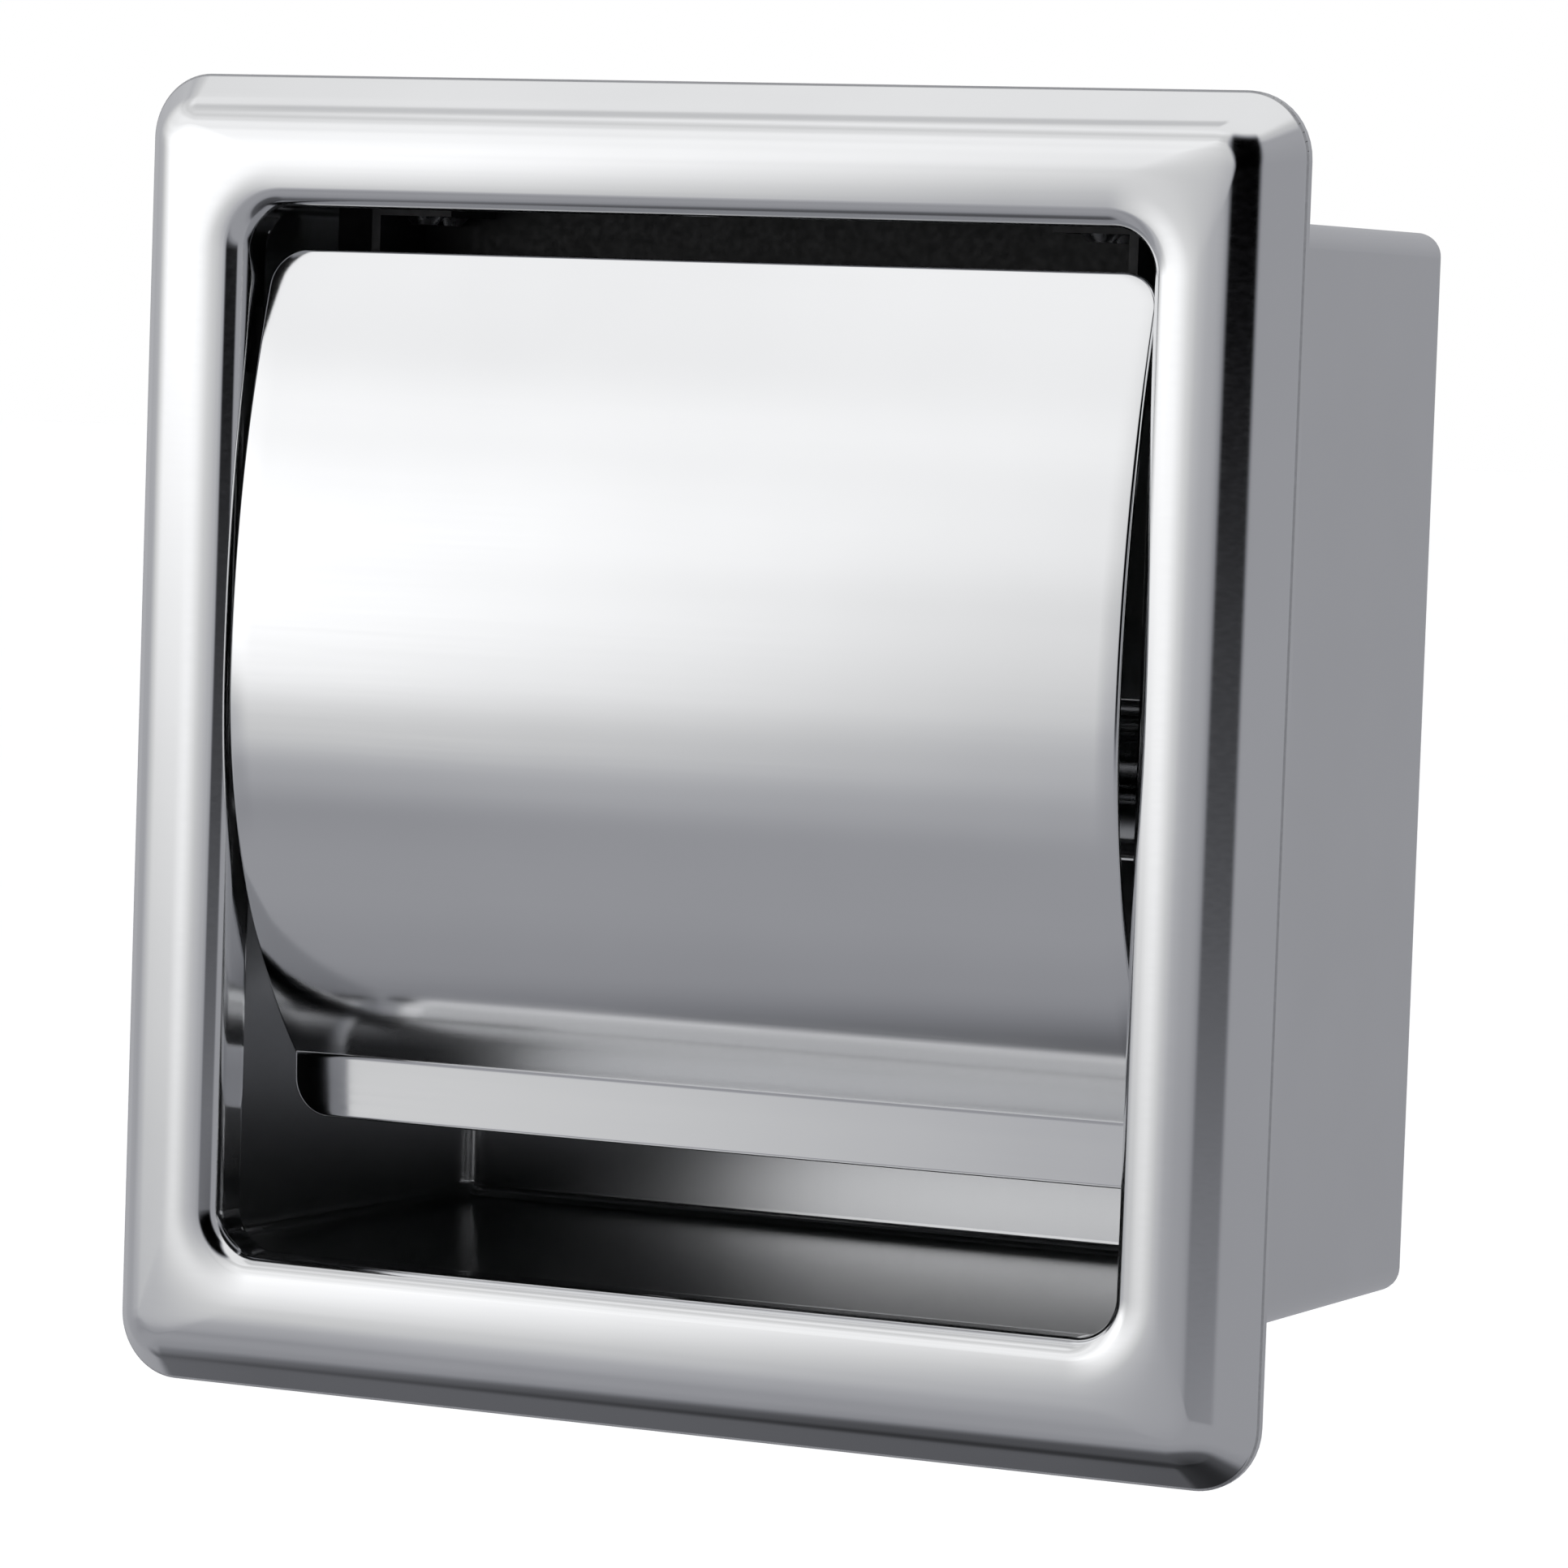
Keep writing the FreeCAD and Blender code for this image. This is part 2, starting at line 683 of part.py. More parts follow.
def make_roller_spring():
    """Coil spring between the two plugs, swept along a helix."""
    helix = doc.addObject("Part::Helix", "spring_path")
    span = "(2 * (tube_end - knob_plug) - coil_wire - 2 * coil_play)"
    bind(helix, "Pitch", f"{span} / coil_turns")
    bind(helix, "Height", span)
    bind(helix, "Radius", "coil_diameter / 2")
    wire = doc.addObject("Part::Circle", "spring_wire")
    bind(wire, "Radius", "coil_wire / 2")
    wire.Placement.Rotation = FreeCAD.Rotation(FreeCAD.Vector(1, 0, 0), 90)
    bind(wire, "Placement.Base.x", "coil_diameter / 2")
    spring = doc.addObject("Part::Sweep", "roller_spring")
    spring.Label = "roller_spring"
    spring.Sections = [wire]
    spring.Spine = (helix, ["Edge1"])
    spring.Solid = True
    spring.Frenet = True
    spring.Placement.Rotation = FreeCAD.Rotation(FreeCAD.Vector(0, 1, 0), 90)
    bind(spring, "Placement.Base.x", f"-{span} / 2")
    bind(spring, "Placement.Base.y", "roller_in")
    bind(spring, "Placement.Base.z", "roller_height")
    doc.recompute()
    return spring


def make_roller_socket(name, side):
    """Plate with a round boss, riveted to a side wall; its blind hole holds a tip of the roller."""
    wall = "(box_width / 2 - steel)"
    turn = ((0, 0, 1), 180) if side > 0 else None
    body = new_body(name, f"{side} * {wall}", "roller_in", "roller_height", turn=turn)
    plate = new_sketch(body, "YZ_Plane", "plate")
    rounded_rectangle(plate, "socket_plate_width", "socket_plate_height", "socket_plate_round")
    pad(body, plate, "socket_plate_thick", "plate_pad")
    boss = new_sketch(body, "YZ_Plane", "boss")
    circles(boss, [("0", "0")], "socket_boss")
    pad(body, boss, "socket_boss_high", "boss_pad")
    hole = new_sketch(body, "YZ_Plane", "tip_hole", "socket_boss_high")
    circles(hole, [("0", "0")], "socket_hole")
    pocket(body, hole, "socket_hole_deep", "tip_hole_cut")
    top = value_of("socket_boss_high")
    rim = value_of("socket_boss") / 2

    def is_rim(b):
        return near(b.YMax - b.YMin, 2 * rim) and near(b.XMin, b.XMax) and near(b.ZMax - b.ZMin, 2 * rim)

    local = body.Tip.Shape
    rims = [n for n in edges_where(local, is_rim) if near(abs(local.getElement(n).BoundBox.XMin), top)]
    fillet(body, rims, "socket_boss_round", "boss_round")
    rivets = new_sketch(body, "YZ_Plane", "rivet_holes")
    circles(rivets, [("0", f"{s} * socket_rivet_offset") for s in (1, -1)], "rivet_hole")
    pocket(body, rivets, "2 * socket_plate_thick", "rivet_hole_cut", Midplane=True)
    return body


# ---------------------------------------------------------------- rivets


def rivet_group(name, places, grip):
    """Separate rivets at places (point, outward direction): both heads and a shank of length grip.

    Each point is where the axis meets the outer skin of the box.
    """
    shank, head = value_of("rivet_shank") / 2, value_of("rivet_head") / 2
    head_top, high = value_of("rivet_head_top") / 2, value_of("rivet_head_high")
    solids = []
    for point, outward in places:
        middle = Part.makeCylinder(shank, grip, point - outward * grip, outward)
        solid = middle
        for foot, way in ((point, outward), (point - outward * grip, outward * -1)):
            solid = solid.fuse(Part.makeCone(head, head_top, high, foot, way))
        solids.append(solid)
    group = doc.addObject("Part::Feature", name)
    group.Label = name
    group.Shape = Part.makeCompound(solids)
    return group


def make_bracket_rivets():
    """Rivets through the ceiling and the brackets' feet."""
    top = value_of("box_rise + box_height / 2")
    across = value_of("bracket_rivet_place")
    depths = [value_of("bracket_rivet_first"), value_of("bracket_rivet_second")]
    up = FreeCAD.Vector(0, 0, 1)
    places = [(FreeCAD.Vector(s * across, depth, top), up) for s in (1, -1) for depth in depths]
    return rivet_group("bracket_rivets", places, value_of("steel + bracket_steel"))


def make_socket_rivets():
    """Rivets through the side walls and the sockets' plates."""
    half = value_of("box_width / 2")
    depth, level = value_of("roller_in"), value_of("roller_height")
    offset = value_of("socket_rivet_offset")
    places = [
        (FreeCAD.Vector(s * half, depth, level + up * offset), FreeCAD.Vector(s, 0, 0))
        for s in (1, -1)
        for up in (1, -1)
    ]
    return rivet_group("socket_rivets", places, value_of("steel + socket_plate_thick"))


nodes = [
    make_bezel_frame(),
    make_wall_flange(),
    make_housing_box(),
    make_hood_cover(),
    make_knuckle("hood_knuckle_left", -1),
    make_knuckle("hood_knuckle_right", 1),
    make_hinge_rod(),
    make_rod_clip("rod_clip_left", -1),
    make_rod_clip("rod_clip_right", 1),
    make_hinge_bracket("hinge_bracket_left", -1),
    make_hinge_bracket("hinge_bracket_right", 1),
    make_hood_bumper("hood_bumper_left", -1),
    make_hood_bumper("hood_bumper_right", 1),
    make_bracket_rivets(),
    make_header_strip(),
    make_roller_barrel(),
    make_roller_sleeve(),
    make_roller_spring(),
    make_roller_knob("roller_knob_left", -1, "barrel_inner"),
    make_roller_knob("roller_knob_right", 1, "sleeve_inner"),
    make_roller_socket("roller_socket_left", -1),
    make_roller_socket("roller_socket_right", 1),
    make_socket_rivets(),
]

doc.recompute()
for thing in doc.Objects:
    if "Invalid" in thing.State or "Error" in thing.State:
        raise RuntimeError(f"{thing.Label}: {thing.State}")
for node in nodes:
    if node.Shape.isNull() or not node.Shape.isValid() or not node.Shape.Solids:
        raise RuntimeError(f"{node.Label}: bad shape")

os.makedirs("parts", exist_ok=True)
for node in nodes:
    node.Shape.exportStep(f"parts/{node.Label}.step")
    box = node.Shape.BoundBox
    low = f"({box.XMin:.2f}, {box.YMin:.2f}, {box.ZMin:.2f})"
    high = f"({box.XMax:.2f}, {box.YMax:.2f}, {box.ZMax:.2f})"
    print(f"{node.Label}: {len(node.Shape.Solids)} solid, {node.Shape.Volume:.0f} mm3, {low} to {high}")
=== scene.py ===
import math

import bmesh
import bpy
from mathutils import Matrix, Vector


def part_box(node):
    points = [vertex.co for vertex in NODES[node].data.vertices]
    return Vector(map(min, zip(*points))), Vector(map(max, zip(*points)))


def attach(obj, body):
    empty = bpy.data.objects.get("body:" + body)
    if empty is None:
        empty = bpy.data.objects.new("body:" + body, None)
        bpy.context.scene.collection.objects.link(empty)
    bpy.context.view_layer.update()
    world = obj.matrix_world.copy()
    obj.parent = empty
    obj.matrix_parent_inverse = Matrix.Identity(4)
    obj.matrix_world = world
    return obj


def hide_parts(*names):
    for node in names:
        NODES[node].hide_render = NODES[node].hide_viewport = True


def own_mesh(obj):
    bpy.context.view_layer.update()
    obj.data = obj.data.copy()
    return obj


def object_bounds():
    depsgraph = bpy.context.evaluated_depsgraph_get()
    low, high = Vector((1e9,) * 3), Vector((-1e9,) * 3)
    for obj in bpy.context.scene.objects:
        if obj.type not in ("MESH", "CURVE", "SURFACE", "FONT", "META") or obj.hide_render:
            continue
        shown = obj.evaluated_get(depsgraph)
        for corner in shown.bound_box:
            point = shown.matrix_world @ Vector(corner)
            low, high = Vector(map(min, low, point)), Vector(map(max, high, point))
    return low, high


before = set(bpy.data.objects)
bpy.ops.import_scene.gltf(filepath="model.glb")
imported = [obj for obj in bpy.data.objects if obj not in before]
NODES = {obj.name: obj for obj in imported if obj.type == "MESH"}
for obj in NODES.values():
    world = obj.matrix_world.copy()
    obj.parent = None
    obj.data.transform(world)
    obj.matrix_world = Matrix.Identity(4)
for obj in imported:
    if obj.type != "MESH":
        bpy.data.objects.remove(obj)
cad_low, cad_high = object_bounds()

MM = 0.001

# ---------------------------------------------------------------- shader nodes

# Noise values are used from NOISE_LOW to NOISE_HIGH, where nearly all of them lie.
NOISE_LOW, NOISE_HIGH = 0.3, 0.7
NOISE_ROUGHNESS = 0.55
EVEN = (1, 1, 1)


def new_material(name):
    material = bpy.data.materials.new(name)
    material.use_nodes = True
    tree = material.node_tree
    shader = tree.nodes["Principled BSDF"]
    return material, tree, shader


def add_node(tree, kind, **settings):
    node = tree.nodes.new(kind)
    for key, value in settings.items():
        setattr(node, key, value)
    return node


def math_node(tree, operation, *values):
    """Maths node on numbers or other nodes' outputs."""
    node = add_node(tree, "ShaderNodeMath", operation=operation)
    for index, value in enumerate(values):
        if isinstance(value, (int, float)):
            node.inputs[index].default_value = value
        else:
            tree.links.new(value, node.inputs[index])
    return node.outputs["Value"]


def noise(tree, scale, detail, stretch=EVEN):
    """Noise in the object's own space, stretched along an axis for grain."""
    place = add_node(tree, "ShaderNodeTexCoord")
    mapping = add_node(tree, "ShaderNodeMapping")
    mapping.inputs["Scale"].default_value = stretch
    texture = add_node(tree, "ShaderNodeTexNoise")
    texture.inputs["Scale"].default_value = scale
    texture.inputs["Detail"].default_value = detail
    texture.inputs["Roughness"].default_value = NOISE_ROUGHNESS
    tree.links.new(place.outputs["Object"], mapping.inputs["Vector"])
    tree.links.new(mapping.outputs["Vector"], texture.inputs["Vector"])
    return texture.outputs["Fac"]


def spread(tree, source, low, high):
    """Maps a noise value on to a narrow range of roughness."""
    node = add_node(tree, "ShaderNodeMapRange")
    node.inputs["From Min"].default_value = NOISE_LOW
    node.inputs["From Max"].default_value = NOISE_HIGH
    node.inputs["To Min"].default_value = low
    node.inputs["To Max"].default_value = high
    tree.links.new(source, node.inputs["Value"])
    return node.outputs["Result"]


def two_stop_ramp(tree, source, first, second):
    """Colour ramp between two stops, each (position, colour)."""
    ramp = add_node(tree, "ShaderNodeValToRGB")
    for stop, (position, colour) in zip(ramp.color_ramp.elements, (first, second)):
        stop.position = position
        stop.color = (*colour, 1)
    tree.links.new(source, ramp.inputs["Fac"])
    return ramp.outputs["Color"]


def tint(tree, source, dark, light):
    """Two close colours mixed by a noise value."""
    return two_stop_ramp(tree, source, (NOISE_LOW, dark), (NOISE_HIGH, light))


def bump(tree, shader, layers):
    """Stacks height layers, each (source, strength, depth in metres)."""
    last = None
    for source, strength, depth in layers:
        node = add_node(tree, "ShaderNodeBump")
        node.inputs["Strength"].default_value = strength
        node.inputs["Distance"].default_value = depth
        tree.links.new(source, node.inputs["Height"])
        if last is not None:
            tree.links.new(last, node.inputs["Normal"])
        last = node.outputs["Normal"]
    tree.links.new(last, shader.inputs["Normal"])


# ---------------------------------------------------------------- materials


def brush(tree, shader, amount):
    """Blurs what the surface reflects along the object's X axis."""
    brush_line = (1.0, 0.02, 0.03)
    shader.inputs["Anisotropic"].default_value = amount
    across = add_node(tree, "ShaderNodeCombineXYZ")
    for axis, part in zip("XYZ", brush_line):
        across.inputs[axis].default_value = part
    to_world = add_node(tree, "ShaderNodeVectorTransform", vector_type="VECTOR")
    to_world.convert_from, to_world.convert_to = "OBJECT", "WORLD"
    tree.links.new(across.outputs["Vector"], to_world.inputs["Vector"])
    tree.links.new(to_world.outputs["Vector"], shader.inputs["Tangent"])


def steel(name, dark, light, rough, grain_axis=(1, 60, 60), wave=0.15, grain=0.12, brushed=0.0):
    """Stainless steel: faint pressing waves, buffing lines along one axis, smudged gloss."""
    line_scale, smudge_scale, wave_scale = 30, 22, 9
    wave_depth, line_depth, smudge_gloss = 0.0004, 0.000004, 0.02
    material, tree, shader = new_material(name)
    shader.inputs["Metallic"].default_value = 1.0
    lines = noise(tree, line_scale, 3.0, grain_axis)
    smudge = noise(tree, smudge_scale, 3.0)
    waves = noise(tree, wave_scale, 1.0)
    tree.links.new(tint(tree, smudge, dark, light), shader.inputs["Base Color"])
    line_gloss = spread(tree, lines, 0.0, rough[1] - rough[0])
    base_gloss = spread(tree, smudge, rough[0], rough[0] + smudge_gloss)
    tree.links.new(math_node(tree, "ADD", line_gloss, base_gloss), shader.inputs["Roughness"])
    bump(tree, shader, [(waves, wave, wave_depth), (lines, grain, line_depth)])
    if brushed:
        brush(tree, shader, brushed)
    return material


def coated(name, dark, light, rough, height, scale=900):
    """Painted, moulded or rubber surface: fine texture, small colour drift."""
    drift_scale, texture_strength = 60, 0.35
    material, tree, shader = new_material(name)
    fine = noise(tree, scale, 5.0)
    drift = noise(tree, drift_scale, 3.0)
    tree.links.new(tint(tree, drift, dark, light), shader.inputs["Base Color"])
    tree.links.new(spread(tree, fine, *rough), shader.inputs["Roughness"])
    bump(tree, shader, [(fine, texture_strength, height)])
    return material


polished = steel("polished_steel", (0.70, 0.705, 0.715), (0.735, 0.74, 0.75), (0.085, 0.12), wave=0.03)
hood_steel = steel("hood_steel", (0.705, 0.71, 0.72), (0.735, 0.74, 0.75), (0.085, 0.12), wave=0.015)
box_steel = steel("box_steel", (0.67, 0.675, 0.685), (0.71, 0.715, 0.725), (0.19, 0.20),
                  grain_axis=(60, 60, 1), wave=0.04, grain=0.01, brushed=0.85)
rod_steel = steel("rod_steel", (0.62, 0.62, 0.625), (0.7, 0.7, 0.705), (0.16, 0.24), (1, 80, 80))
wire_steel = steel("wire_steel", (0.42, 0.42, 0.43), (0.56, 0.56, 0.57), (0.22, 0.34), (1, 40, 40))
rivet_steel = steel("rivet_steel", (0.55, 0.555, 0.565), (0.66, 0.665, 0.675), (0.22, 0.34), (10, 10, 10))
roller_steel = steel("roller_chrome", (0.66, 0.665, 0.68), (0.75, 0.755, 0.765), (0.07, 0.12), (80, 1, 1))
black_coat = coated("black_coat", (0.010, 0.010, 0.011), (0.018, 0.018, 0.019), (0.42, 0.58), 0.00003)
rubber = coated("bumper_rubber", (0.014, 0.014, 0.014), (0.026, 0.026, 0.027), (0.7, 0.9), 0.00005, 1500)
socket_plastic = coated("socket_plastic", (0.022, 0.022, 0.024), (0.036, 0.036, 0.039), (0.38, 0.55), 0.00003)
knob_plastic = coated("knob_plastic", (0.60, 0.61, 0.62), (0.68, 0.69, 0.70), (0.32, 0.45), 0.00002)

FINISHES = (
    (box_steel, ("wall_flange", "housing_box")),
    (rod_steel, ("hood_knuckle_left", "hood_knuckle_right", "hinge_rod")),
    (wire_steel, ("rod_clip_left", "rod_clip_right")),
    (black_coat, ("hinge_bracket_left", "hinge_bracket_right", "header_strip")),
    (rubber, ("hood_bumper_left", "hood_bumper_right")),
    (roller_steel, ("roller_barrel", "roller_sleeve")),
    (knob_plastic, ("roller_knob_left", "roller_knob_right")),
    (socket_plastic, ("roller_socket_left", "roller_socket_right")),
    (rivet_steel, ("bracket_rivets", "socket_rivets")),
)
for finish, node_names in FINISHES:
    for node_name in node_names:
        mesh = NODES[node_name].data
        mesh.materials.clear()
        mesh.materials.append(finish)

# ---------------------------------------------------------------- mesh helpers


def mix(a, b, f):
    return a + (b - a) * f


def join_rings(first, second):
    """Quads between two closed rings of point numbers."""
    count = len(first)
    faces = []
    for k in range(count):
        m = (k + 1) % count
        faces.append((first[k], first[m], second[m], second[k]))
    return faces


def make_piece(name, points, faces, material):
    """A closed smooth mesh from points in millimetres."""
    mesh = bpy.data.meshes.new(name)
    mesh.from_pydata([Vector(p) * MM for p in points], [], faces)
    shape = bmesh.new()
    shape.from_mesh(mesh)
    bmesh.ops.recalc_face_normals(shape, faces=shape.faces)
    shape.to_mesh(mesh)
    shape.free()
    mesh.materials.append(material)
    mesh.shade_smooth()
    piece = bpy.data.objects.new(name, mesh)
    bpy.context.scene.collection.objects.link(piece)
    return piece


# ---------------------------------------------------------------- trim frame

CORNER_STEPS = 20
SIDE_STEPS = 10
EDGE_STEPS = 7

# Millimetres. The ridge, where the flank meets the face, is RIDGE_INSET in from the outer edge.
RIDGE_INSET = 6.3
OUTER_CORNER, RIDGE_CORNER, OPEN_CORNER = 8.0, 3.2, 5.5
OPEN_HALF, OPEN_TOP, OPEN_BOTTOM = 60.8, 65.5, -64.5
LIP_BACK = -1.2
FRAME_SHEET = 0.9
EDGE_ROUND = 0.3


def ring_points(half_x, top, bottom, radius, depth):
    """Rounded rectangle seen from the front, as (x, y, z) at one depth."""
    corners = (
        (half_x - radius, top - radius, 0),
        (-half_x + radius, top - radius, 90),
        (-half_x + radius, bottom + radius, 180),
        (half_x - radius, bottom + radius, 270),
    )
    arcs = []
    for x, z, start in corners:
        angles = [math.radians(start + 90 * step / CORNER_STEPS) for step in range(CORNER_STEPS + 1)]
        arcs.append([(x + radius * math.cos(a), depth, z + radius * math.sin(a)) for a in angles])
    points = []
    for arc, following in zip(arcs, arcs[1:] + arcs[:1]):
        points += arc
        for step in range(1, SIDE_STEPS):
            f = step / SIDE_STEPS
            points.append(tuple(mix(a, b, f) for a, b in zip(arc[-1], following[0])))
    return points


def frame_section():
    """The front skin as (inset, height), from the outer back edge, over the ridge, to the lip."""
    flank, dome, inner, lip = 53.5, 10.0, -6.0, -90.0
    spans = (  # length, steps, slope at its start and at its end
        (5.0, 8, flank, flank),
        (5.2, 20, flank, dome),
        (3.8, 10, dome, 0.0),
        (3.4, 6, 0.0, inner),
        (4.1, 20, inner, lip),
        (3.9, 6, lip, lip),
    )
    inset, height = 0.0, 0.0
    section = [(inset, height)]
    for length, steps, first, last in spans:
        for step in range(steps):
            slope = math.radians(mix(first, last, (step + 0.5) / steps))
            inset += math.cos(slope) * length / steps
            height += math.sin(slope) * length / steps
            section.append((inset, height))
    return section


def fitted_skin(half_x, front, back):
    """The section as (inset, depth), fitted between the outer edge, the crest and the lip's end."""
    section = frame_section()
    heights = [height for inset, height in section]
    stretch = (half_x - OPEN_HALF) / section[-1][0]
    rise = (back - front) / max(heights)
    skin = [(inset * stretch, back - height * rise) for inset, height in section]
    fall = LIP_BACK - skin[-1][1]
    crest, last = heights.index(max(heights)), len(skin) - 1
    for i in range(crest, last + 1):
        f = (i - crest) / (last - crest)
        skin[i] = (skin[i][0], skin[i][1] + fall * f ** 2)
    return skin


def sheet_section(skin, back):
    """Closed outline of the sheet: the front skin, its rounded end, and the back skin."""
    normals = []
    for i in range(len(skin)):
        before, after = skin[max(i - 1, 0)], skin[min(i + 1, len(skin) - 1)]
        run = Vector((after[0] - before[0], after[1] - before[1])).normalized()
        normals.append(Vector((-run.y, run.x)))
    outline = list(skin)
    end, inward = Vector(skin[-1]), normals[-1]
    onward = Vector((inward.y, -inward.x))
    middle = end + inward * FRAME_SHEET / 2
    for step in range(1, EDGE_STEPS):
        angle = math.pi * step / EDGE_STEPS
        through = inward * math.cos(angle) * FRAME_SHEET / 2
        outline.append(tuple(middle - through + onward * math.sin(angle) * EDGE_ROUND))
    for point, normal in zip(reversed(skin), reversed(normals)):
        behind = Vector(point) + normal * FRAME_SHEET
        outline.append((behind.x, min(behind.y, back)))
    return outline


def frame_ring(inset, depth, half_x, half_z):
    """Ring of the frame at a distance in from its outer edge."""
    ridge_x, ridge_z = half_x - RIDGE_INSET, half_z - RIDGE_INSET
    open_inset = half_x - OPEN_HALF
    if inset <= RIDGE_INSET:
        f = inset / RIDGE_INSET
        top = mix(half_z, ridge_z, f)
        radius = mix(OUTER_CORNER, RIDGE_CORNER, f)
        return ring_points(mix(half_x, ridge_x, f), top, -top, radius, depth)
    f = (inset - RIDGE_INSET) / (open_inset - RIDGE_INSET)
    radius = mix(RIDGE_CORNER, OPEN_CORNER + open_inset - inset, min(1.0, 2.0 * f))
    top, bottom = mix(ridge_z, OPEN_TOP, f), mix(-ridge_z, OPEN_BOTTOM, f)
    return ring_points(mix(ridge_x, OPEN_HALF, f), top, bottom, radius, depth)


def make_frame():
    low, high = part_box("bezel_frame")
    half_x, half_z = high.x / MM, high.z / MM
    front, back = low.y / MM, high.y / MM
    points, rings = [], []
    for inset, depth in sheet_section(fitted_skin(half_x, front, back), back):
        ring = frame_ring(inset, depth, half_x, half_z)
        rings.append(range(len(points), len(points) + len(ring)))
        points += ring
    faces = []
    for first, second in zip(rings, rings[1:] + rings[:1]):
        faces += join_rings(first, second)
    piece = make_piece("bezel_shell", points, faces, polished)
    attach(piece, "housing")
    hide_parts("bezel_frame")


make_frame()

# ---------------------------------------------------------------- hood

# Millimetres. The front bulges furthest at BULGE_Z, and the lower lip is bent at CREASE_Z.
BULGE_Z, CREASE_Z = 8.0, -40.5
UPPER_RADIUS, LOWER_RADIUS, BEND_RADIUS = 172.0, 72.0, 1.2
LIP_LEAN, LIP_LENGTH = math.radians(2.5), 8.0
ARC_STEPS, BEND_STEPS, LIP_STEPS = 60, 10, 12
HOOD_SHEET, HOOD_CORNER = 1.0, 4.8
FRONT_ROUND, BACK_ROUND = 0.45, 0.25
FACE_CORNER = HOOD_CORNER - FRONT_ROUND
CORNER_ROWS, COLUMNS = 16, 48
FRONT_ROUND_STEPS, BACK_ROUND_STEPS = 6, 4


def hood_profile():
    """Outer face down the hood's middle, as (y, z, normal y, normal z, length so far)."""
    low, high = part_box("hood_cover")
    bulge_y, top_z = low.y / MM, high.z / MM

    def on_arc(radius, slope):
        return bulge_y + radius * (1 - math.cos(slope)), BULGE_Z + radius * math.sin(slope), slope

    top_slope = math.asin((top_z - BULGE_Z) / UPPER_RADIUS)
    crease_slope = -math.asin((BULGE_Z - CREASE_Z) / LOWER_RADIUS)
    steps = [on_arc(UPPER_RADIUS, top_slope * (1 - i / ARC_STEPS)) for i in range(ARC_STEPS)]
    steps += [on_arc(LOWER_RADIUS, crease_slope * i / ARC_STEPS) for i in range(ARC_STEPS + 1)]
    crease_y, crease_z = steps[-1][:2]
    pull = BEND_RADIUS * math.tan((-LIP_LEAN - crease_slope) / 2)
    start_y = crease_y + pull * math.sin(crease_slope)
    start_z = crease_z + pull * math.cos(crease_slope)
    steps = [step for step in steps if step[1] > start_z]
    centre_y = start_y - BEND_RADIUS * math.cos(crease_slope)
    centre_z = start_z + BEND_RADIUS * math.sin(crease_slope)
    for i in range(BEND_STEPS + 1):
        slope = mix(crease_slope, -LIP_LEAN, i / BEND_STEPS)
        y = centre_y + BEND_RADIUS * math.cos(slope)
        z = centre_z - BEND_RADIUS * math.sin(slope)
        steps.append((y, z, slope))
    bend_y, bend_z = steps[-1][:2]
    for i in range(1, LIP_STEPS + 1):
        run = (LIP_LENGTH - pull) * i / LIP_STEPS
        steps.append((bend_y + run * math.sin(LIP_LEAN), bend_z - run * math.cos(LIP_LEAN), -LIP_LEAN))
    profile, length, last = [], 0.0, steps[0]
    for step in steps:
        y, z, slope = step
        length += math.hypot(y - last[0], z - last[1])
        profile.append((y, z, -math.cos(slope), math.sin(slope), length))
        last = step
    return profile


def at_length(profile, length):
    """Point and outward normal on the hood's outer face at a distance down the profile."""
    for a, b in zip(profile, profile[1:]):
        if length <= b[4] or b is profile[-1]:
            f = (length - a[4]) / (b[4] - a[4])
            y, z = mix(a[0], b[0], f), mix(a[1], b[1], f)
            normal = Vector((mix(a[2], b[2], f), mix(a[3], b[3], f))).normalized()
            return y, z, normal.x, normal.y


def hood_rows(profile):
    """Distances down the hood of its rows of points, close together at the rounded corners."""
    clear, digits = 1.0, 5
    total = profile[-1][4]
    steps = [90 * i / CORNER_ROWS for i in range(CORNER_ROWS + 1)]
    drops = [FACE_CORNER * (1 - math.cos(math.radians(step))) for step in steps]
    first = [FRONT_ROUND + drop for drop in drops]
    last = [total - FRONT_ROUND - drop for drop in drops]
    lengths = [point[4] for point in profile[:-LIP_STEPS]]
    middle = [length for length in lengths if first[-1] + clear < length < last[-1] - clear]
    return sorted(set(round(row, digits) for row in first + middle + last))


def edge_layers():
    """The sheet's rounded edge from front to back, as (distance out, depth)."""
    layers = []
    for k in range(1, FRONT_ROUND_STEPS + 1):
        angle = math.radians(90 * k / FRONT_ROUND_STEPS)
        layers.append((FRONT_ROUND * math.sin(angle), FRONT_ROUND * (1 - math.cos(angle))))
    for k in range(BACK_ROUND_STEPS + 1):
        angle = math.radians(90 * k / BACK_ROUND_STEPS)
        out = FRONT_ROUND - BACK_ROUND * (1 - math.cos(angle))
        layers.append((out, HOOD_SHEET - BACK_ROUND * (1 - math.sin(angle))))
    return layers


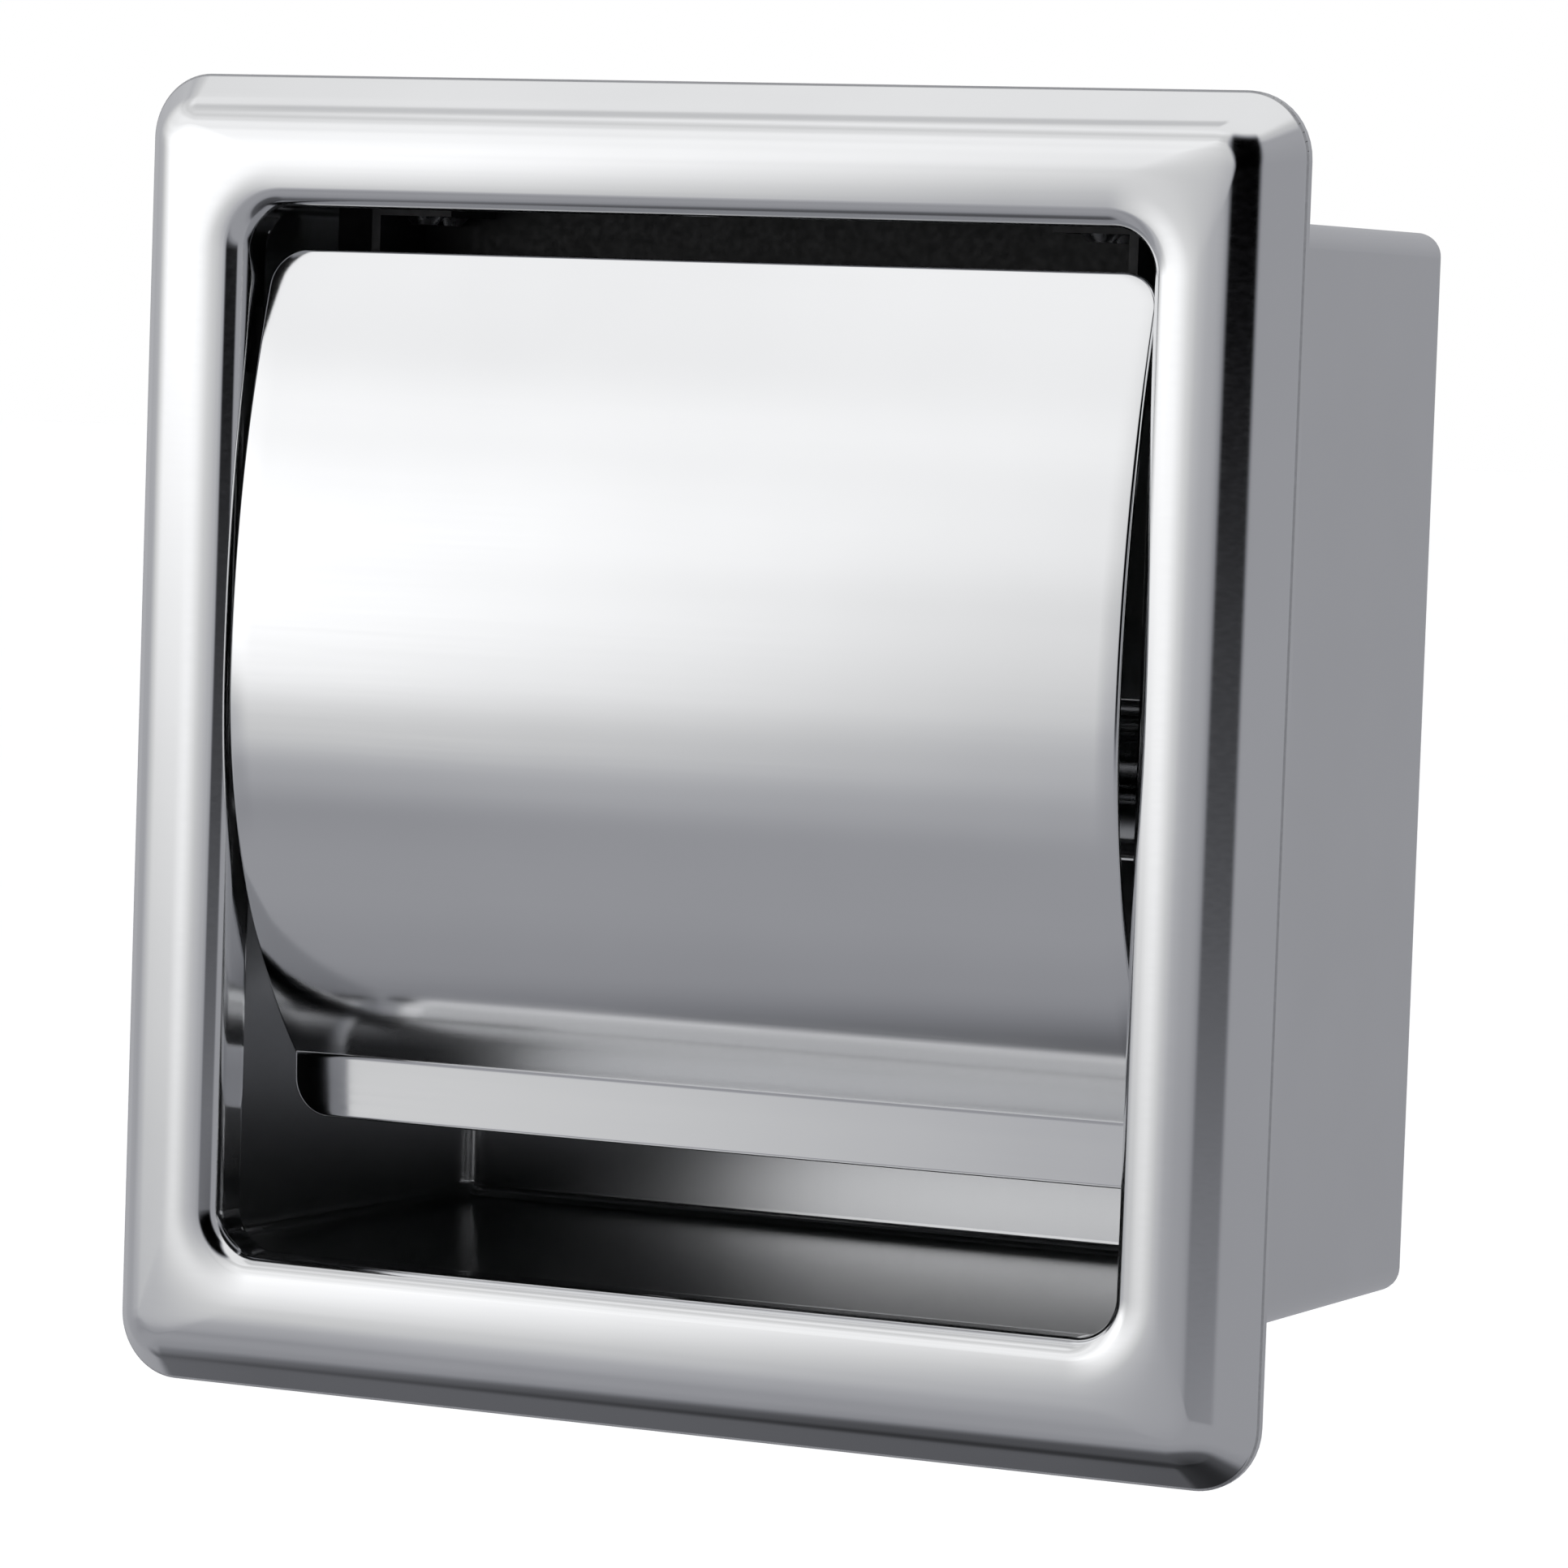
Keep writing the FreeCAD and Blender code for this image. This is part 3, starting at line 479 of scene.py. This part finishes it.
def make_hood():
    profile = hood_profile()
    rows = hood_rows(profile)
    total = profile[-1][4]
    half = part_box("hood_cover")[1].x / MM - FRONT_ROUND
    last_row = len(rows) - 1

    def width(row):
        """Half width of the front face at a row, less at its rounded corners."""
        near = min(row - FRONT_ROUND, total - FRONT_ROUND - row)
        if near >= FACE_CORNER:
            return half
        return half - FACE_CORNER + math.sqrt(max(FACE_CORNER ** 2 - (FACE_CORNER - near) ** 2, 0))

    def place(j, i, depth, out_x=0.0, out_down=0.0):
        """Point of column j and row i, moved back through the sheet and out past its edge."""
        y, z, normal_y, normal_z = at_length(profile, rows[i] + out_down)
        x = (-1 + 2 * j / COLUMNS) * width(rows[i]) + out_x
        return (x, y - normal_y * depth, z - normal_z * depth)

    def outward(j, i):
        """Direction out of the hood's edge at a point on it, as (x, down)."""
        side = (j == COLUMNS) - (j == 0)
        above, below = rows[i] - FRONT_ROUND, total - FRONT_ROUND - rows[i]
        if above >= FACE_CORNER and below >= FACE_CORNER:
            return side, 0
        across = side * (width(rows[i]) - half + FACE_CORNER) / FACE_CORNER
        down = above - FACE_CORNER if above < FACE_CORNER else FACE_CORNER - below
        return across, down / FACE_CORNER

    cells = [(j, i) for i in range(last_row) for j in range(COLUMNS)]
    keys = [(j, i) for i in range(last_row + 1) for j in range(COLUMNS + 1)]
    border = [(j, 0) for j in range(COLUMNS + 1)]
    border += [(COLUMNS, i) for i in range(1, last_row + 1)]
    border += [(j, last_row) for j in range(COLUMNS - 1, -1, -1)]
    border += [(0, i) for i in range(last_row - 1, 0, -1)]

    points = [place(j, i, 0.0) for j, i in keys]
    front = {key: number for number, key in enumerate(keys)}
    faces = []
    for j, i in cells:
        faces.append((front[j, i], front[j + 1, i], front[j + 1, i + 1], front[j, i + 1]))
    ring = [front[key] for key in border]
    for push, depth in edge_layers():
        last_ring, ring = ring, range(len(points), len(points) + len(border))
        for j, i in border:
            across, down = outward(j, i)
            points.append(place(j, i, depth, across * push, down * push))
        faces += join_rings(last_ring, ring)
    back = dict(zip(border, ring))
    for j, i in keys:
        if (j, i) not in back:
            back[j, i] = len(points)
            points.append(place(j, i, HOOD_SHEET))
    for j, i in cells:
        faces.append((back[j, i], back[j, i + 1], back[j + 1, i + 1], back[j + 1, i]))
    piece = make_piece("hood_shell", points, faces, hood_steel)
    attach(piece, "hood")
    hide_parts("hood_cover")


make_hood()

# ---------------------------------------------------------------- roller spring

WIRE_RADIUS = 0.6  # millimetres
WIRE_SIDES, SPRING_TURNS, TURN_STEPS = 10, 17, 24


def make_spring():
    """Coil spring in the roller, which moves with the roller."""
    low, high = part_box("roller_spring")
    coil = (high.z - low.z) / 2 / MM - WIRE_RADIUS
    centre_y, centre_z = (low.y + high.y) / 2 / MM, (low.z + high.z) / 2 / MM
    start, end = low.x / MM + WIRE_RADIUS, high.x / MM - WIRE_RADIUS
    pitch = (end - start) / SPRING_TURNS
    points, rings = [], []
    for i in range(SPRING_TURNS * TURN_STEPS + 1):
        angle = 2 * math.pi * i / TURN_STEPS
        out = Vector((0, math.cos(angle), math.sin(angle)))
        along = Vector((pitch / (2 * math.pi), -coil * out.z, coil * out.y)).normalized()
        across = along.cross(out)
        centre = Vector((start + pitch * i / TURN_STEPS, centre_y, centre_z)) + out * coil
        rings.append(range(len(points), len(points) + WIRE_SIDES))
        for k in range(WIRE_SIDES):
            turn = 2 * math.pi * k / WIRE_SIDES
            points.append(centre + (out * math.cos(turn) + across * math.sin(turn)) * WIRE_RADIUS)
    faces = [tuple(rings[0]), tuple(rings[-1])]
    for first, second in zip(rings, rings[1:]):
        faces += join_rings(first, second)
    piece = make_piece("spring_coil", points, faces, wire_steel)
    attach(piece, "roller")
    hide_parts("roller_spring")
    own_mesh(piece)


make_spring()

# ---------------------------------------------------------------- floor

FLOOR_DROP, FLOOR_RADIUS = 0.45, 40.0  # metres


def make_floor():
    """Pale floor below the holder, which the polished steel doesn't reflect."""
    mesh = bpy.data.meshes.new("studio_floor")
    shape = bmesh.new()
    bmesh.ops.create_circle(shape, cap_ends=True, radius=FLOOR_RADIUS, segments=96)
    shape.to_mesh(mesh)
    shape.free()
    floor = bpy.data.objects.new("studio_floor", mesh)
    floor.location.z = cad_low.z - FLOOR_DROP
    bpy.context.scene.collection.objects.link(floor)
    material, tree, shader = new_material("pale_floor")
    shader.inputs["Roughness"].default_value = 0.9
    shader.inputs["Specular IOR Level"].default_value = 0.1
    shader.inputs["Emission Color"].default_value = (1, 1, 1, 1)
    shader.inputs["Emission Strength"].default_value = 0.35
    colour = tint(tree, noise(tree, 3, 3.0), (0.86, 0.865, 0.87), (0.88, 0.88, 0.88))
    tree.links.new(colour, shader.inputs["Base Color"])
    mesh.materials.append(material)
    floor.visible_glossy = False


make_floor()

# ---------------------------------------------------------------- studio light

# The steel reflects a soft room. Its brightness follows two angles in degrees: the compass angle, which
# is 0 in front of the holder and 90 to its right, and the height above the horizon. Each list below
# holds (angle, value) stops. ROOM lights everything, UPPER and KEY add light at the upper left and the
# left, and the rest are dark cards that take light away. A stop is stored as its share of RAMP_TOP.
RAMP_TOP = 2.0
ROOM_HEIGHT = [
    (-90, 0.05), (-64, 0.10), (-52, 0.36), (-40, 0.40), (15, 0.41), (38, 0.44), (46, 0.7), (58, 1.04),
    (90, 1.05),
]
UPPER_HEIGHT = [
    (-90, 0), (-6, 0), (5, 0.25), (12, 0.55), (20, 0.72), (33, 0.76), (40, 0.5), (45, 0.15), (52, 0.25),
    (58, 0.0), (90, 0),
]
UPPER_COMPASS = [
    (-180, 0.1), (-130, 0.2), (-80, 0.9), (-60, 1.0), (-24, 1.0), (-10, 0.6), (2, 0.1), (12, 0), (180, 0.1),
]
KEY_HEIGHT = [
    (-90, 0), (-27, 0.0), (-20, 0.09), (-12, 0.30), (-2, 0.58), (3, 0.58), (7, 0.50), (12, 0.30), (17, 0.14),
    (24, 0.0), (90, 0),
]
KEY_COMPASS = [
    (-180, 0), (-100, 0.1), (-60, 1.6), (-36, 1.7), (-30, 1.45), (-27, 1.0), (-24, 0.5), (-19, 0.2),
    (-12, 0.08), (0, 0), (180, 0),
]
FRONT_RIGHT_COMPASS = [(-180, 0), (-6, 0), (6, 1), (56, 1), (68, 0), (180, 0)]
FRONT_RIGHT_HEIGHT = [(-90, 0), (-13, 0), (-8, 0.3), (-3.5, 0.85), (0, 1), (45, 1), (60, 0), (90, 0)]
REAR_LOW_COMPASS = [(-180, 1), (-115, 1), (-85, 0), (85, 0), (115, 1), (180, 1)]
REAR_LOW_HEIGHT = [(-90, 0.6), (-50, 0.6), (-38, 0), (90, 0)]
LEFT_HIGH_COMPASS = [(-180, 0), (-90, 0), (-72, 0.3), (-60, 0.3), (-48, 0), (180, 0)]
LEFT_HIGH_HEIGHT = [(-90, 0), (46, 0), (54, 1), (68, 1), (76, 0), (90, 0)]
LEFT_LOW_COMPASS = [(-180, 0), (-100, 0), (-70, 1), (-38, 1), (-29, 0), (180, 0)]
LEFT_LOW_HEIGHT = [(-90, 0), (-35, 0), (-16, 0.3), (-8, 0.38), (-4.6, 0.3), (1, 0), (90, 0)]
DARK_CARDS = (
    (FRONT_RIGHT_COMPASS, FRONT_RIGHT_HEIGHT),
    (REAR_LOW_COMPASS, REAR_LOW_HEIGHT),
    (LEFT_HIGH_COMPASS, LEFT_HIGH_HEIGHT),
    (LEFT_LOW_COMPASS, LEFT_LOW_HEIGHT),
)


def curve_value(tree, angle, stops):
    """Smooth value of an angle through the stops."""
    low, high = stops[0][0], stops[-1][0]
    scaled = add_node(tree, "ShaderNodeMapRange")
    scaled.inputs["From Min"].default_value = low
    scaled.inputs["From Max"].default_value = high
    tree.links.new(angle, scaled.inputs["Value"])
    ramp = add_node(tree, "ShaderNodeValToRGB")
    ramp.color_ramp.interpolation = "EASE"
    elements = ramp.color_ramp.elements
    while len(elements) > 1:
        elements.remove(elements[-1])
    for index, (at, value) in enumerate(stops):
        position = (at - low) / (high - low)
        element = elements[0] if index == 0 else elements.new(position)
        element.position = position
        element.color = (value / RAMP_TOP,) * 3 + (1,)
    tree.links.new(scaled.outputs["Result"], ramp.inputs["Fac"])
    return math_node(tree, "MULTIPLY", ramp.outputs["Color"], RAMP_TOP)


def make_studio():
    world = bpy.data.worlds.new("studio")
    bpy.context.scene.world = world
    world.use_nodes = True
    tree = world.node_tree
    tree.nodes.clear()
    place = add_node(tree, "ShaderNodeTexCoord")
    split = add_node(tree, "ShaderNodeSeparateXYZ")
    tree.links.new(place.outputs["Generated"], split.inputs["Vector"])
    forward = math_node(tree, "MULTIPLY", split.outputs["Y"], -1)
    compass = math_node(tree, "DEGREES", math_node(tree, "ARCTAN2", split.outputs["X"], forward))
    height = math_node(tree, "DEGREES", math_node(tree, "ARCSINE", split.outputs["Z"]))

    def patch(around, up):
        return math_node(tree, "MULTIPLY", curve_value(tree, height, up), curve_value(tree, compass, around))

    left = math_node(tree, "ADD", patch(UPPER_COMPASS, UPPER_HEIGHT), patch(KEY_COMPASS, KEY_HEIGHT))
    room = math_node(tree, "ADD", curve_value(tree, height, ROOM_HEIGHT), left)
    for around, up in DARK_CARDS:
        room = math_node(tree, "MULTIPLY", room, math_node(tree, "SUBTRACT", 1.0, patch(around, up)))

    glow = add_node(tree, "ShaderNodeBackground")
    colour = two_stop_ramp(tree, room, (0.25, (0.955, 0.97, 1.05)), (0.8, (1, 1, 1)))
    tree.links.new(colour, glow.inputs["Color"])
    tree.links.new(room, glow.inputs["Strength"])
    plain = add_node(tree, "ShaderNodeBackground")
    plain.inputs["Color"].default_value = (1, 1, 1, 1)
    seen = add_node(tree, "ShaderNodeLightPath")
    choose = add_node(tree, "ShaderNodeMixShader")
    tree.links.new(seen.outputs["Is Camera Ray"], choose.inputs["Fac"])
    tree.links.new(glow.outputs["Background"], choose.inputs[1])
    tree.links.new(plain.outputs["Background"], choose.inputs[2])
    out = add_node(tree, "ShaderNodeOutputWorld")
    tree.links.new(choose.outputs["Shader"], out.inputs["Surface"])


make_studio()


def make_softbox(name, location, size, power):
    """A large overhead panel for the matt surfaces and the floor, which the steel doesn't reflect."""
    data = bpy.data.lights.new(name, "AREA")
    data.shape = "SQUARE"
    data.size = size
    data.energy = power
    lamp = bpy.data.objects.new(name, data)
    lamp.location = location
    direction = (cad_low + cad_high) / 2 - Vector(location)
    lamp.rotation_mode = "QUATERNION"
    lamp.rotation_quaternion = direction.to_track_quat("-Z", "Y")
    lamp.visible_glossy = False
    bpy.context.scene.collection.objects.link(lamp)


make_softbox("softbox_overhead", location=(-0.4, -0.7, 1.6), size=1.2, power=14.0)

# ---------------------------------------------------------------- camera

# Metres and radians. The focal length is a share of the sensor's width.
CAMERA_PLACE = (0.384426, -0.761178, 0.050589)
CAMERA_PITCH, CAMERA_ROLL, CAMERA_YAW = 0.070973, 0.034156, -0.458453
FOCAL_SHARE, LENS_SHIFT = 4.50554, (0.018901, 0.039715)
SENSOR_WIDTH = 36.0


def turned(angle):
    """Cosine and sine of an angle in radians."""
    return math.cos(angle), math.sin(angle)


def make_camera():
    """Camera a little above and to the right of the holder, 0.85 m away, level with its hood."""
    cz, sz = turned(CAMERA_YAW)
    cx, sx = turned(CAMERA_PITCH)
    cy, sy = turned(CAMERA_ROLL)
    turn = Matrix(((cz, -sz, 0), (sz, cz, 0), (0, 0, 1)))
    tip = Matrix(((1, 0, 0), (0, cx, -sx), (0, sx, cx)))
    base = Matrix(((1, 0, 0), (0, 0, -1), (0, 1, 0)))
    lean = Matrix(((cy, -sy, 0), (sy, cy, 0), (0, 0, 1)))
    view = lean @ base @ tip @ turn
    data = bpy.data.cameras.new("camera")
    data.sensor_width = SENSOR_WIDTH
    data.lens = FOCAL_SHARE * SENSOR_WIDTH
    data.shift_x, data.shift_y = LENS_SHIFT
    data.clip_start, data.clip_end = 0.05, 100.0
    camera = bpy.data.objects.new("camera", data)
    axes = Matrix((view[0], -view[1], -view[2])).transposed()
    camera.matrix_world = Matrix.Translation(CAMERA_PLACE) @ axes.to_4x4()
    bpy.context.scene.collection.objects.link(camera)
    bpy.context.scene.camera = camera


make_camera()
bpy.context.scene.view_settings.view_transform = "Standard"

bpy.context.view_layer.update()
